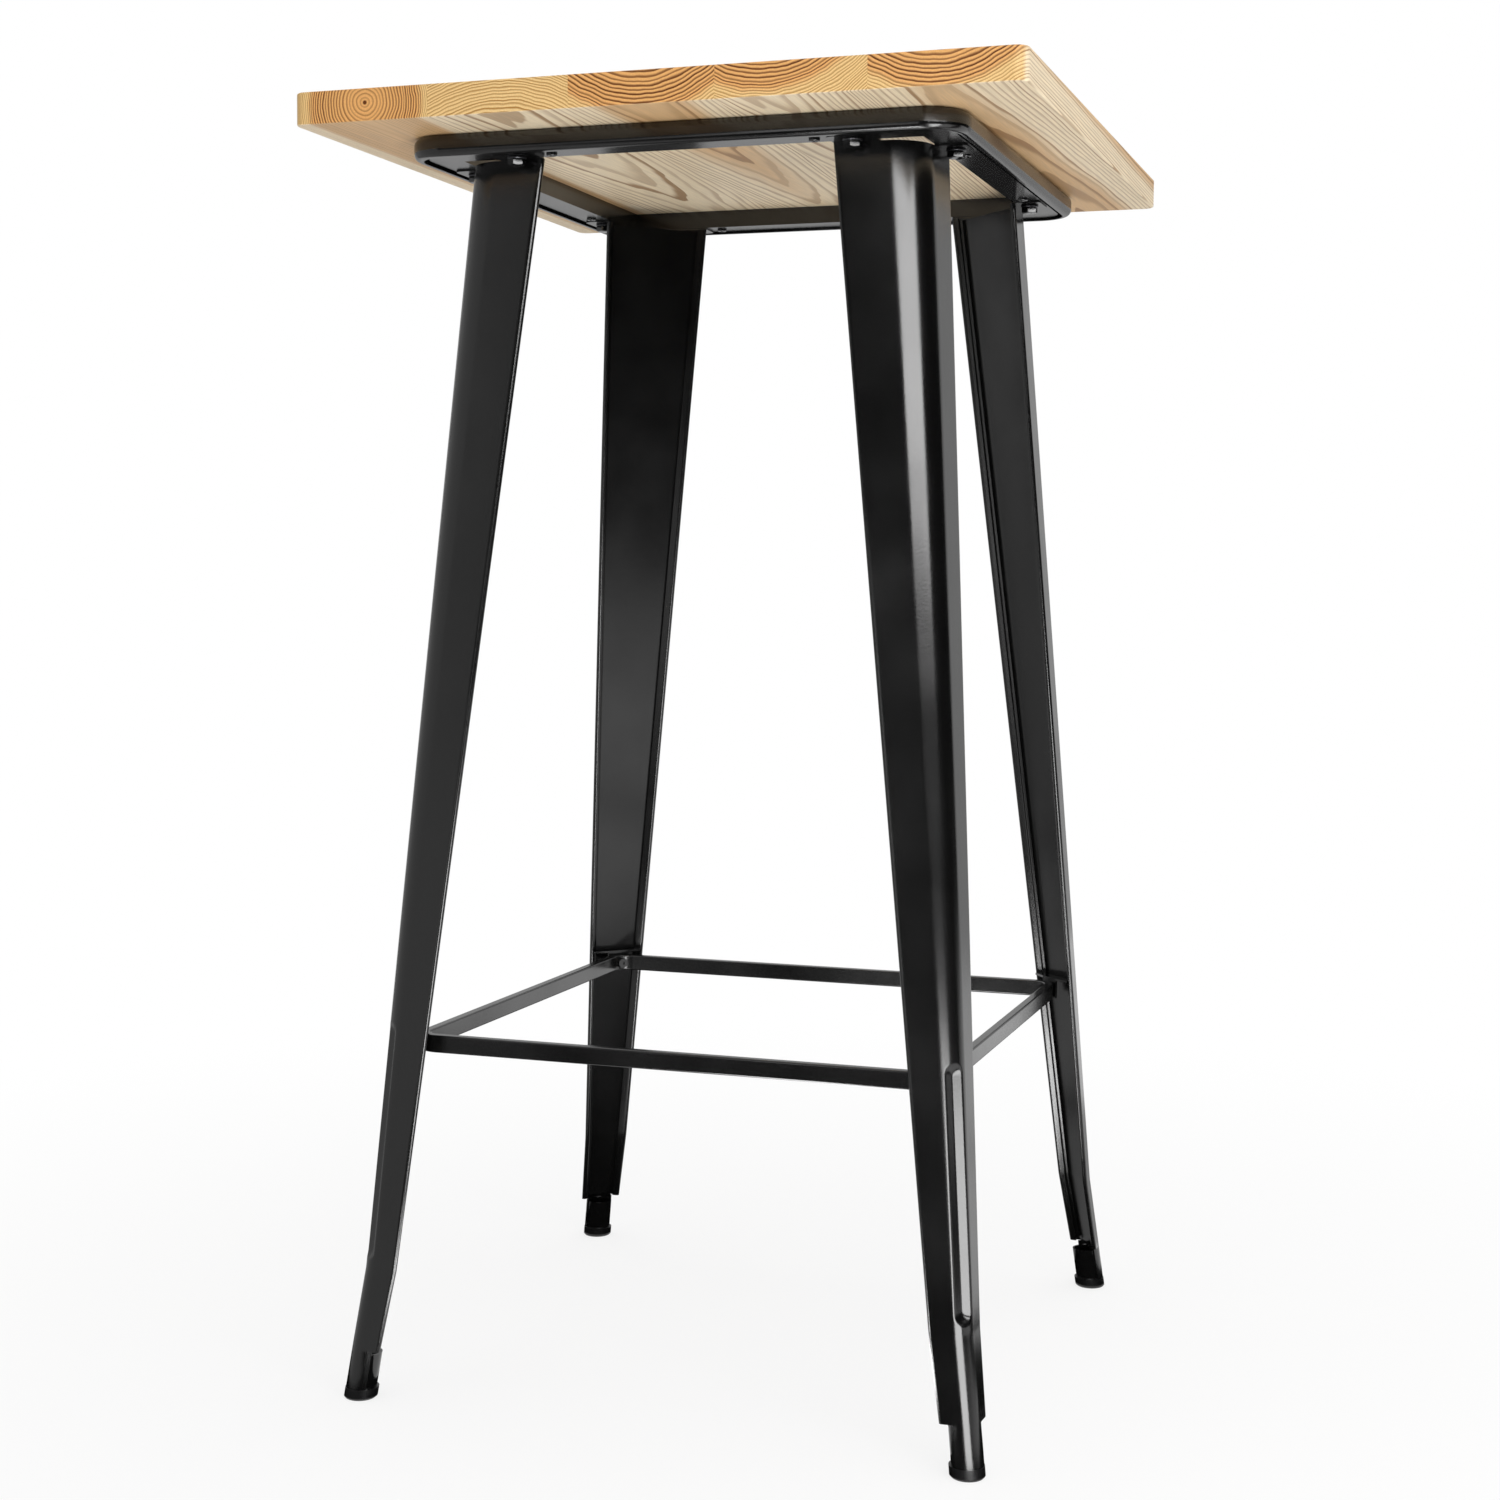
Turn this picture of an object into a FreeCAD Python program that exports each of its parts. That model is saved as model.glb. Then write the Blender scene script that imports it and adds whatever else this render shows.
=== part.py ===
import FreeCAD, Part

import math
import os

from FreeCAD import Rotation, Vector

# Square pub table in millimetres: an edge-glued wood top on a pressed steel frame, four splayed sheet
# steel legs nested in the inner corners of the frame, each closed by a flat plate on its inside, and a
# flat bar footrest screwed to the legs.
# The origin is the floor under the middle of the top. +Z is up and -Y is the front.

# Wood top
table_height = 1080.0
top_width = 600.0
top_depth = 600.0
top_thickness = 26.0
top_corner_radius = 10.0
top_edge_round = 1.5
stave_count = 5

# Steel frame under the top: a rim with a rolled lip round four mitred channel rails
frame_width = 473.0
frame_height = 18.0
frame_corner_radius = 34.0
rim_sheet = 1.5
lip_width = 8.0
lip_round = 6.0
lip_return = 10.0
lip_drop = 2.0
lip_gap = 4.5
rail_width = 27.0
rail_sheet = 2.0

# Pressed legs: the two sides of each stand open by side_lean degrees apiece more than square
leg_sheet = 1.5
leg_top_width = 72.5
leg_top_round = 32.0
leg_foot_width = 29.5
leg_foot_round = 13.8
leg_knee_height = 110.0
leg_knee_spread = 262.5
foot_spread = 263.0
leg_fit = 0.5
side_lean = 3.0
hem_radius = 2.5
hem_return = 4.0
side_end_height = 42.0
wrap_half_angle = 84.0

# Flat plate welded in behind the hems of each leg
plate_sheet = 1.2
plate_gap = 3.0
plate_end_gap = 2.0

# Ears folded out at the leg tops
ear_depth = 26.0
ear_corner_radius = 6.0
ear_bend_gap = 2.0

# Pressed groove in the outer corner of each leg
groove_bottom = 115.0
groove_top = 317.0
groove_width = 16.0
groove_depth = 3.5
groove_vee_width = 34.0

# Footrest
footrest_top = 307.0
footrest_width = 462.0
bar_height = 15.0
bar_thickness = 8.5
bar_edge_round = 1.5
bar_bend_radius = 14.0

# Gusset on the inner plate of each leg that carries the footrest
gusset_sheet = 2.0
gusset_gap = 2.0
gusset_tab_width = 22.0
weld_fit = 0.3

# Feet
tube_top = 38.0
tube_wall = 1.5
tube_fit = 0.1
glide_height = 9.0
glide_floor = 3.0
glide_rim = 0.4
glide_edge = 1.5

# Fasteners
bolt_radius = 4.0
bolt_head_width = 13.0
bolt_head_height = 5.3
bolt_washer_radius = 8.0
bolt_washer_thickness = 1.6
bolt_nut_width = 13.0
bolt_nut_height = 6.5
bolt_tip = 2.0
top_screw_spacing = 224.0
top_screw_radius = 2.0
top_screw_head_radius = 4.5
top_screw_head_height = 2.4
top_screw_bite = 15.0
footrest_screw_radius = 2.5
footrest_screw_head_radius = 4.6
footrest_screw_head_height = 3.0
footrest_nut_width = 8.0
footrest_nut_height = 4.0
socket_width = 3.0
socket_depth = 1.6
hole_fit = 0.15
overrun = 5.0

# Places that follow from the sizes above
top_underside = table_height - top_thickness
frame_half = frame_width / 2
lip_inner = frame_half - lip_width
rail_outer = lip_inner - lip_gap
frame_inner = rail_outer - rail_width
frame_bottom = top_underside - frame_height
flange_bottom = top_underside - rim_sheet
web_bottom = frame_bottom + lip_drop
web_top = web_bottom + rail_sheet
leg_top = web_bottom - leg_sheet
corner_top = frame_inner - leg_fit
lean = math.radians(side_lean)
tangent_share = math.tan(math.pi / 4 - lean)
centre_share = tangent_share * math.cos(lean) + math.sin(lean)
corner_floor = foot_spread + leg_foot_round * centre_share
plate_share = math.sqrt(2) / (math.cos(lean) - math.sin(lean))
ear_start = leg_top_round + ear_bend_gap
ear_outer = frame_inner + ear_depth
bolt_along = corner_top - (ear_start + leg_top_width) / 2
bolt_across = frame_inner + ear_depth / 2
screw_along = top_screw_spacing / 2
screw_across = (frame_inner + rail_outer) / 2
footrest_bottom = footrest_top - bar_height
footrest_middle = footrest_top - bar_height / 2
footrest_half = footrest_width / 2
bar_outer_bend = bar_bend_radius + bar_thickness
bend_centre = (footrest_half - bar_outer_bend) * math.sqrt(2)
gusset_bottom = footrest_top + gusset_gap
gusset_top = gusset_bottom + gusset_sheet
tab_face = bend_centre + bar_outer_bend
tab_back = tab_face + gusset_sheet
screw_seat = bend_centre + math.sqrt(bar_bend_radius ** 2 - footrest_screw_head_radius ** 2)
tube_outer = leg_foot_round - leg_sheet - tube_fit
glide_radius = leg_foot_round + glide_rim

UP = Vector(0, 0, 1)
CORNERS = ("back_right", "back_left", "front_left", "front_right")
SIDES = ("back", "left", "front", "right")


def between(z, low, high, at_low, at_high):
    """Value on the straight line from at_low at height low to at_high at height high."""
    return at_low + (at_high - at_low) * (z - low) / (high - low)


def leg_corner(z):
    """Distance of a leg's sharp outer corner from the table's middle planes at a height."""
    if z < leg_knee_height:
        return between(z, 0, leg_knee_height, corner_floor, leg_knee_spread)
    return between(z, leg_knee_height, leg_top, leg_knee_spread, corner_top)


def leg_width(z):
    """Width of a leg's sides at a height, growing evenly from their lower ends to the top."""
    return between(z, side_end_height, leg_top, leg_foot_width, leg_top_width)


def leg_round(z):
    """Outer radius of a leg's corner at a height."""
    return between(z, side_end_height, leg_top, leg_foot_round, leg_top_round)


def foot_axis(z):
    """Distance of a foot's axis from the table's middle planes at a height."""
    return leg_corner(z) - leg_foot_round * centre_share


def side_point(z, along, inset):
    """Point of the back side of the back right leg: along it from the sharp corner, in from its outer face."""
    c = leg_corner(z)
    x = c - along * math.cos(lean) - inset * math.sin(lean)
    y = c + along * math.sin(lean) - inset * math.cos(lean)
    return Vector(x, y, z)


def mirrored(point):
    """Point on the other side of the back right diagonal."""
    return Vector(point.y, point.x, point.z)


def corner_crest(z, inset):
    """Point of the back right leg's round corner on the diagonal, in from its outer face."""
    place = leg_corner(z) - leg_round(z) * centre_share + (leg_round(z) - inset) / math.sqrt(2)
    return Vector(place, place, z)


def closed_wire(points):
    """Closed wire through points. A point given as a pair is the middle and the end of an arc."""
    edges = []
    start = points[0]
    for item in points[1:]:
        if isinstance(item, tuple):
            edges.append(Part.Arc(start, item[0], item[1]).toShape())
            start = item[1]
        else:
            edges.append(Part.LineSegment(start, item).toShape())
            start = item
    if start.distanceToPoint(points[0]) > Part.Precision.confusion():
        edges.append(Part.LineSegment(start, points[0]).toShape())
    return Part.Wire(edges)


def prism(points, direction):
    """Solid swept from a closed outline along a vector."""
    return Part.Face(closed_wire(points)).extrude(direction)


def box(x_range, y_range, z_range):
    """Box between two limits along each axis."""
    low, high = zip(x_range, y_range, z_range)
    size = [b - a for a, b in zip(low, high)]
    return Part.makeBox(*size, Vector(*low))


def upright_edges(shape):
    """Straight edges of a block that run up and down."""
    return [e for e in shape.Edges if abs(e.Vertexes[0].Z - e.Vertexes[-1].Z) > 0]


def level_edges(shape, z):
    """Edges of a shape that lie wholly at one height."""
    return [e for e in shape.Edges if all(abs(v.Z - z) < Part.Precision.confusion() for v in e.Vertexes)]


def square_block(half, radius, bottom, top):
    """Upright square block about the Z axis with rounded upright corners."""
    block = box((-half, half), (-half, half), (bottom, top))
    return block.makeFillet(radius, upright_edges(block))


def hexagon(width, height, base, axis):
    """Hexagonal prism of a given width across flats on a base point along an axis."""
    radius = width / math.sqrt(3)
    turn = Rotation(UP, axis)
    corners = [k * math.pi / 3 for k in range(6)]
    points = [Vector(radius * math.cos(a), radius * math.sin(a), 0) for a in corners]
    placed = [base + turn.multVec(p) for p in points]
    return prism(placed, axis * height)


def turned(shape, quarter):
    """Copy of a shape turned about Z by quarter turns."""
    return shape.rotated(Vector(0, 0, 0), UP, 90 * quarter)


def save(shape, name):
    """Write one named piece, or a group of like pieces, as its own file."""
    shape.exportStep(os.path.join("parts", name + ".step"))


def screw_places():
    """Places of the top screws on the web of the four rails."""
    pair = [Vector(side * screw_along, screw_across, 0) for side in (-1, 1)]
    return [Rotation(UP, 90 * k).multVec(p) for k in range(4) for p in pair]


def bolt_places():
    """Places of the leg bolts: one in each of the two ears of every leg."""
    pair = [Vector(side * bolt_along, bolt_across, 0) for side in (-1, 1)]
    return [Rotation(UP, 90 * k).multVec(p) for k in range(4) for p in pair]


def bored(shape, places, radius, bottom, top):
    """Shape with an upright hole at each place."""
    tools = [Part.makeCylinder(radius, top - bottom, p + UP * bottom) for p in places]
    return shape.cut(tools)


def make_top():
    """Edge-glued top cut into its staves, with eased edges and pilot holes from below."""
    half_width = top_width / 2
    half_depth = top_depth / 2
    slab = box((-half_width, half_width), (-half_depth, half_depth), (top_underside, table_height))
    slab = slab.makeFillet(top_corner_radius, upright_edges(slab))
    rims = level_edges(slab, top_underside) + level_edges(slab, table_height)
    slab = slab.makeFillet(top_edge_round, rims)
    pilot_top = top_underside + top_screw_bite + hole_fit
    slab = bored(slab, screw_places(), top_screw_radius + hole_fit, top_underside - overrun, pilot_top)
    stave_width = top_width / stave_count
    staves = []
    for k in range(stave_count):
        left = -half_width + k * stave_width
        cutter = box(
            (left, left + stave_width),
            (-half_depth - overrun, half_depth + overrun),
            (top_underside - overrun, table_height + overrun),
        )
        staves.append(slab.common(cutter))
    return staves


def mitred(frame):
    """Back, left, front and right quarters of a square frame, parted along its diagonals."""
    reach = frame_half + overrun
    low = frame_bottom - overrun
    corners = [Vector(0, 0, low), Vector(reach, reach, low), Vector(-reach, reach, low)]
    wedge = prism(corners, UP * (frame_height + overrun + overrun))
    return [frame.common(turned(wedge, k)) for k in range(4)]


def make_rim():
    """Rim of the frame: a flange under the wood and a round-edged lip rolled down outside the rails."""
    lip_corner = frame_corner_radius - lip_width
    block = square_block(frame_half, frame_corner_radius, frame_bottom, top_underside)
    block = block.makeFillet(lip_round, level_edges(block, frame_bottom) + level_edges(block, top_underside))
    inside = square_block(lip_inner, lip_corner, frame_bottom - overrun, flange_bottom)
    low = frame_bottom + rim_sheet
    hollow = square_block(frame_half - rim_sheet, frame_corner_radius - rim_sheet, low, flange_bottom)
    bends = level_edges(hollow, low) + level_edges(hollow, flange_bottom)
    hollow = hollow.makeFillet(lip_round - rim_sheet, bends)
    return_top = frame_bottom + lip_return
    back = square_block(lip_inner + rim_sheet, lip_corner + rim_sheet, frame_bottom, return_top)
    opening_z = (frame_bottom - overrun, top_underside + overrun)
    opening = box((-frame_inner, frame_inner), (-frame_inner, frame_inner), opening_z)
    rim = block.cut([inside, hollow.cut(back), opening])
    return mitred(bored(rim, screw_places(), top_screw_radius + hole_fit, frame_bottom, top_underside))


def make_rails():
    """Channel rails open to the flange above them, round outside to follow the lip and sharp inside."""
    rail_corner = frame_corner_radius - lip_width - lip_gap
    block = square_block(rail_outer, rail_corner, web_bottom, flange_bottom)
    channel = square_block(rail_outer - rail_sheet, rail_corner - rail_sheet, web_top, top_underside)
    inner_wall = frame_inner + rail_sheet
    core = box((-inner_wall, inner_wall), (-inner_wall, inner_wall), (web_bottom, top_underside))
    opening_z = (web_bottom - overrun, top_underside)
    opening = box((-frame_inner, frame_inner), (-frame_inner, frame_inner), opening_z)
    rails = block.cut([channel.cut(core), opening])
    rails = bored(rails, screw_places(), top_screw_radius + hole_fit, frame_bottom, top_underside)
    return mitred(bored(rails, bolt_places(), bolt_radius + hole_fit, frame_bottom, top_underside))


def leg_section(z):
    """Wire of a leg's sheet at a height: two sides, a round corner and an open hem on each free edge."""
    w, t, h = leg_width(z), leg_sheet, hem_radius
    bend = leg_round(z) * tangent_share
    tip = w - h - hem_return

    def at(along, inset):
        return side_point(z, along, inset)

    def across(along, inset):
        return mirrored(side_point(z, along, inset))

    return closed_wire([
        at(bend, 0), at(w - h, 0), (at(w, h), at(w - h, h + h)), at(tip, h + h), at(tip, h + h - t),
        at(w - h, h + h - t), (at(w - t, h), at(w - h, t)), at(bend, t),
        (corner_crest(z, t), across(bend, t)),
        across(w - h, t), (across(w - t, h), across(w - h, h + h - t)), across(tip, h + h - t),
        across(tip, h + h), across(w - h, h + h), (across(w, h), across(w - h, 0)), across(bend, 0),
        (corner_crest(z, 0), at(bend, 0)),
    ])


def filled_section(z):
    """Wire round all that lies inside a leg's outer faces at a height."""
    near, far = side_point(z, leg_round(z) * tangent_share, 0), side_point(z, leg_width(z), 0)
    return closed_wire([near, far, mirrored(far), mirrored(near), (corner_crest(z, 0), near)])


def wrap_section(z):
    """Wire of the part round strip that runs down the outside of the foot tube at a height."""
    middle = Vector(foot_axis(z), foot_axis(z), z)

    def at(radius, share):
        angle = math.radians(45 + share * wrap_half_angle)
        return middle + Vector(math.cos(angle), math.sin(angle), 0) * radius

    outer, inner = leg_foot_round, leg_foot_round - leg_sheet
    return closed_wire([
        at(outer, -1), (at(outer, 0), at(outer, 1)), at(inner, 1), (at(inner, 0), at(inner, -1)),
    ])


def groove_tool(grow):
    """Vee groove with round ends along the outer corner of a leg, grown all round by one amount."""
    low, high = corner_crest(groove_bottom, 0), corner_crest(groove_top, 0)
    along = (high - low).normalize()
    across = Vector(1, -1, 0).normalize()
    inward = across.cross(along)
    half = groove_width / 2 + grow
    depth = groove_depth + grow
    start = low + along * (groove_width / 2) - inward * overrun
    end = high - along * (groove_width / 2) - inward * overrun
    outline = [
        start + across * half, end + across * half, (end + along * half, end - across * half),
        start - across * half, (start - along * half, start + across * half),
    ]
    slot = prism(outline, inward * (overrun + depth))
    base = low - along * overrun
    wide = across * (groove_vee_width / 2)
    vee = [
        base - wide - inward * overrun, base - wide + inward * grow, base + inward * depth,
        base + wide + inward * grow, base + wide - inward * overrun,
    ]
    return slot.common(prism(vee, high - low + along * (overrun + overrun)))


def make_ear():
    """Ear folded out from one side at the leg top, to lie under the web of a rail."""
    near, far = side_point(leg_top, ear_start, leg_sheet), side_point(leg_top, leg_top_width, leg_sheet)
    reach = [Vector(p.x, ear_outer, leg_top) for p in (far, near)]
    ear = prism([near, far, *reach], UP * leg_sheet)
    outer = [e for e in upright_edges(ear) if abs(e.Vertexes[0].Y - ear_outer) < Part.Precision.confusion()]
    ear = ear.makeFillet(ear_corner_radius, outer)
    place = Vector(bolt_along, bolt_across, 0)
    return bored(ear, [place], bolt_radius + hole_fit, frame_bottom - overrun, web_top)


def make_leg():
    """Leg of the back right corner: tapered sheet, pressed groove, ears and the strip round the foot."""
    heights = (side_end_height, leg_knee_height, leg_top)
    leg = Part.makeLoft([leg_section(z) for z in heights], True, True)
    filled = Part.makeLoft([filled_section(z) for z in (leg_knee_height, leg_top)], True, True)
    pan = filled.common(groove_tool(leg_sheet))
    wrap = Part.makeLoft([wrap_section(z) for z in (glide_height, side_end_height)], True, True)
    ear = make_ear()
    swap = ear.mirror(Vector(0, 0, 0), Vector(1, -1, 0))
    return leg.fuse([pan, wrap, ear, swap]).cut(groove_tool(0)).removeSplitter()


def plate_edge(z):
    """Distance along a leg's sides from the sharp corner to the front of the inner plate at a height."""
    return leg_width(z) - hem_radius - hem_return - plate_gap


def plate_section(z):
    """Wire of a leg's inner plate at a height, with room for a weld at both sides."""
    face = leg_sheet + weld_fit
    front = side_point(z, plate_edge(z), face)
    back = side_point(z, plate_edge(z) - plate_sheet * plate_share, face)
    return closed_wire([front, back, mirrored(back), mirrored(front)])


def make_inner_plate():
    """Flat plate that closes the inside of a leg from the foot to the top, bent at the knee like the leg."""
    heights = (side_end_height + plate_end_gap, leg_knee_height, leg_top - plate_end_gap)
    return Part.makeLoft([plate_section(z) for z in heights], True, True)


def diagonal_point(distance, side, z):
    """Point at a distance along the back right diagonal, and to one side of it."""
    along = Vector(1, 1, 0).normalize()
    across = Vector(1, -1, 0).normalize()
    return along * distance + across * side + UP * z


def make_gusset():
    """Bracket welded to a leg's inner plate, with a tab turned down behind the footrest's corner."""
    z = gusset_bottom
    w = leg_width(gusset_top)
    face = leg_sheet + weld_fit
    hem = hem_radius + hem_radius + weld_fit
    tip = w - hem_radius - hem_return - weld_fit
    half = gusset_tab_width / 2
    start = plate_edge(gusset_top) + weld_fit * plate_share
    edge = [(start, face), (tip, face), (tip, hem), (w, hem)]
    back = [side_point(gusset_top, *place) - UP * gusset_sheet for place in edge]
    front = [diagonal_point(tab_face, -half, z), diagonal_point(tab_face, half, z)]
    outline = [*back, *front, *[mirrored(p) for p in reversed(back)]]
    plate = prism(outline, UP * gusset_sheet)
    tab_outline = [
        diagonal_point(tab_face, -half, footrest_bottom),
        diagonal_point(tab_back, -half, footrest_bottom),
        diagonal_point(tab_back, half, footrest_bottom),
        diagonal_point(tab_face, half, footrest_bottom),
    ]
    tab = prism(tab_outline, UP * (gusset_bottom - footrest_bottom))
    return plate.fuse(tab).cut(footrest_screw_bore()).removeSplitter()


def footrest_screw_bore():
    """Cylinder that clears the footrest screw through the bar and the tab of the back right corner."""
    start = diagonal_point(bend_centre, 0, footrest_middle)
    along = Vector(1, 1, 0).normalize()
    length = tab_back + overrun - bend_centre
    return Part.makeCylinder(footrest_screw_radius + hole_fit, length, start, along)


def make_footrest():
    """Flat bar bent into a square with round corners and bored at each corner."""
    outer = square_block(footrest_half, bar_outer_bend, footrest_bottom, footrest_top)
    inner_half = footrest_half - bar_thickness
    inner = square_block(inner_half, bar_bend_radius, footrest_bottom - overrun, footrest_top + overrun)
    bar = outer.cut(inner)
    rims = level_edges(bar, footrest_bottom) + level_edges(bar, footrest_top)
    bar = bar.makeFillet(bar_edge_round, rims)
    return bar.cut([turned(footrest_screw_bore(), k) for k in range(4)])


def oblique_cylinder(radius, bottom, top):
    """Cylinder with level ends that leans with the foot of the back right leg."""
    rings = []
    for z in (bottom, top):
        circle = Part.Circle(Vector(foot_axis(z), foot_axis(z), z), UP, radius)
        rings.append(Part.Wire(circle.toShape()))
    return Part.makeLoft(rings, True, True)


def make_foot_tube():
    """Short tube welded into the strip at the bottom of a leg."""
    bore = oblique_cylinder(tube_outer - tube_wall, glide_floor - overrun, tube_top + overrun)
    return oblique_cylinder(tube_outer, glide_floor, tube_top).cut(bore)


def make_glide():
    """Plastic cup under the foot tube, level on the floor, with an eased lower edge."""
    rings = []
    sole_radius = glide_radius - glide_edge
    for z, radius in ((0, sole_radius), (glide_edge, glide_radius), (glide_height, glide_radius)):
        circle = Part.Circle(Vector(foot_axis(z), foot_axis(z), z), UP, radius)
        rings.append(Part.Wire(circle.toShape()))
    cup = Part.makeLoft(rings, True, True)
    return cup.cut(oblique_cylinder(tube_outer + tube_fit, glide_floor, glide_height + overrun))


def make_bolts():
    """Hexagon bolts, their washers and their weld nuts at the leg ears, as three groups."""
    bolts, washers, nuts = [], [], []
    head_top = leg_top - bolt_washer_thickness
    shank_top = web_top + bolt_nut_height + bolt_tip
    for place in bolt_places():
        head = hexagon(bolt_head_width, bolt_head_height, place + UP * (head_top - bolt_head_height), UP)
        shank = Part.makeCylinder(bolt_radius, shank_top - head_top, place + UP * head_top)
        bolts.append(head.fuse(shank))
        washer = Part.makeCylinder(bolt_washer_radius, bolt_washer_thickness, place + UP * head_top)
        washers.append(bored(washer, [place], bolt_radius + hole_fit, head_top - overrun, leg_top + overrun))
        nut = hexagon(bolt_nut_width, bolt_nut_height, place + UP * web_top, UP)
        nuts.append(bored(nut, [place], bolt_radius + hole_fit, web_bottom, shank_top + overrun))
    return bolts, washers, nuts


def make_top_screws():
    """Pan head screws through the web of the rails into the wood."""
    screws = []
    for place in screw_places():
        head_bottom = web_bottom - top_screw_head_height
        head = Part.makeCylinder(top_screw_head_radius, top_screw_head_height, place + UP * head_bottom)
        length = top_underside + top_screw_bite - web_bottom
        shank = Part.makeCylinder(top_screw_radius, length, place + UP * web_bottom)
        screws.append(head.fuse(shank))
    return screws


def make_footrest_screw():
    """Socket screw from inside the footrest's corner into the gusset tab, and its weld nut."""
    along = Vector(1, 1, 0).normalize()
    seat = diagonal_point(screw_seat, 0, footrest_middle)
    back = diagonal_point(tab_back, 0, footrest_middle)
    front = seat - along * footrest_screw_head_height
    head = Part.makeCylinder(footrest_screw_head_radius, footrest_screw_head_height, front, along)
    head = head.cut(hexagon(socket_width, socket_depth, front, along))
    length = (back - seat).Length + footrest_nut_height
    shank = Part.makeCylinder(footrest_screw_radius, length, seat, along)
    nut = hexagon(footrest_nut_width, footrest_nut_height, back, along)
    nut = nut.cut(footrest_screw_bore())
    return head.fuse(shank), nut


def main():
    """Build every piece and write it under its own name."""
    os.makedirs("parts", exist_ok=True)
    for k, stave in enumerate(make_top()):
        save(stave, "top_stave_%d" % (k + 1))
    for side, rim, rail in zip(SIDES, make_rim(), make_rails()):
        save(rim, "frame_rim_" + side)
        save(rail, "frame_rail_" + side)
    corner_pieces = {
        "leg": make_leg(),
        "leg_inner_plate": make_inner_plate(),
        "footrest_gusset": make_gusset(),
        "foot_tube": make_foot_tube(),
        "foot_glide": make_glide(),
    }
    for k, corner in enumerate(CORNERS):
        for piece, shape in corner_pieces.items():
            save(turned(shape, k), piece + "_" + corner)
    save(make_footrest(), "footrest_ring")
    bolts, washers, nuts = make_bolts()
    screw, footrest_nut = make_footrest_screw()
    groups = {
        "leg_bolts": bolts,
        "leg_bolt_washers": washers,
        "leg_bolt_nuts": nuts,
        "top_screws": make_top_screws(),
        "footrest_screws": [turned(screw, k) for k in range(4)],
        "footrest_nuts": [turned(footrest_nut, k) for k in range(4)],
    }
    for name, solids in groups.items():
        save(Part.makeCompound(solids), name)


main()
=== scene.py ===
import math

import bpy
import numpy as np
from bpy.props import FloatProperty, FloatVectorProperty, PointerProperty
from mathutils import Matrix, Vector


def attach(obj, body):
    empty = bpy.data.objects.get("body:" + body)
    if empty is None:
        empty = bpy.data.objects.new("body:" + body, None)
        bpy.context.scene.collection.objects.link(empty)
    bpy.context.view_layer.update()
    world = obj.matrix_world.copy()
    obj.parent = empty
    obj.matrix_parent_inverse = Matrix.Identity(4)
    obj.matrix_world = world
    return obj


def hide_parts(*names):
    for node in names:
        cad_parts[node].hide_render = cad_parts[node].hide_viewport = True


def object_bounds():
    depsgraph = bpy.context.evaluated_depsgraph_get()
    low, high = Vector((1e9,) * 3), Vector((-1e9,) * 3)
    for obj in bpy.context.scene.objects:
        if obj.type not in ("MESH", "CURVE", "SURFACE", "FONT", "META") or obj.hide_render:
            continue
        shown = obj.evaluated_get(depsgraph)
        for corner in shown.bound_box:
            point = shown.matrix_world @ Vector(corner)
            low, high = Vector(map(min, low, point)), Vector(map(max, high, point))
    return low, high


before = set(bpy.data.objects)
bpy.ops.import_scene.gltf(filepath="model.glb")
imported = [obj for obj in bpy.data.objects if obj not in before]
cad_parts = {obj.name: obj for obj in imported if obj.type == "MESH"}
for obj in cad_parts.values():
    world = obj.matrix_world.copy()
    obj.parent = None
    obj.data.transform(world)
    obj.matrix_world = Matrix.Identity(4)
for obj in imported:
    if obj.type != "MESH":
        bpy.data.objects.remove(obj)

bl_info = {
    "name": "Square pub table",
    "version": (1, 0, 0),
    "blender": (4, 5, 0),
    "location": "3D View > Sidebar > Pub table",
    "description": "Wood, powder coat, fasteners and a plain studio for a square pub table",
    "category": "Object",
}

# Corners in quarter turns from the back right one
CORNERS = ("back_right", "back_left", "front_left", "front_right")
QUARTER_TURNS = np.arange(4) * math.pi / 2
SIDES = ("front", "right", "back", "left")
STAVES = tuple("top_stave_%d" % (k + 1) for k in range(5))
CAD_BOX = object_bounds()
SHARP_EDGE = math.radians(32)
DUST_TONE = (0.6, 0.58, 0.55)


def paint(red, green, blue):
    """Linear colour of a paint chip given in display values from 0 to 255."""
    display = np.array((red, green, blue)) / 255
    linear = np.where(display <= 0.04045, display / 12.92, ((display + 0.055) / 1.055) ** 2.4)
    return tuple(float(x) for x in linear)


def length(label, description, default):
    """Length property in metres."""
    return FloatProperty(name=label, description=description, default=default, unit="LENGTH", precision=4)


def rotation(label, description, default):
    """Angle property in radians."""
    return FloatProperty(name=label, description=description, default=default, unit="ROTATION")


def share(label, description, default):
    """Property between 0 and 1."""
    return FloatProperty(
        name=label, description=description, default=default, min=0, max=1, subtype="FACTOR")


def brightness(label, description, default):
    """Property of a lamp or a bright sheet, where 1 is white."""
    return FloatProperty(name=label, description=description, default=default, min=0)


def colour(label, description, default):
    """Colour property."""
    return FloatVectorProperty(
        name=label, description=description, default=default, size=3, min=0, max=1, subtype="COLOR")


def per_stave(label, description, default, unit="LENGTH"):
    """One value for each stave, left to right."""
    return FloatVectorProperty(
        name=label, description=description, default=default, size=5, unit=unit, precision=4)


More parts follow.
